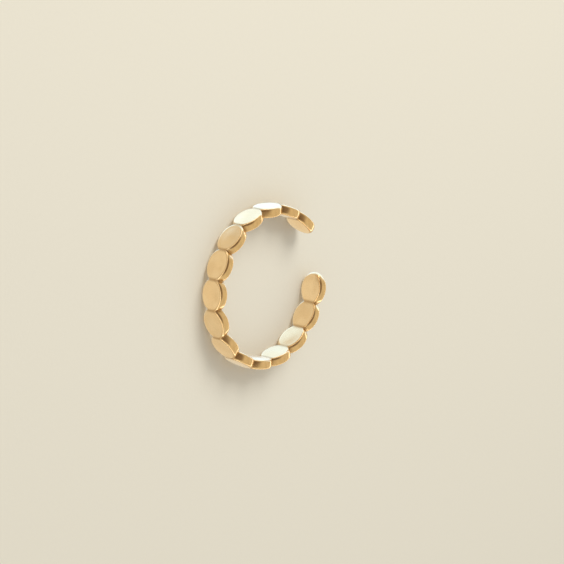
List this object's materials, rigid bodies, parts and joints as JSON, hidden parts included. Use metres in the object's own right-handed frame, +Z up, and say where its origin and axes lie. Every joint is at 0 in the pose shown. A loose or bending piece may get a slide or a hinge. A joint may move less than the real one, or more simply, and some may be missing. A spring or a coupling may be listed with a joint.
{
  "type": "ear cuff",
  "caption": "Open ring ear cuff of flat oval gold beads soldered edge to edge, worn over the rim of the ear, lying on its side.",
  "frame": {"origin": "centre of the ring, on the plane that the cuff rests on", "axes": "+Z up along the ring's axis; +X out through the opening that takes the rim of the ear"},
  "size_m": [0.0118, 0.0122, 0.0019],
  "materials": {
    "gold": "pale yellow gold plate, polished, with faint fine wear"
  },
  "bodies": {
    "root": {"cuff_band": "gold"}
  },
  "joints": []
}
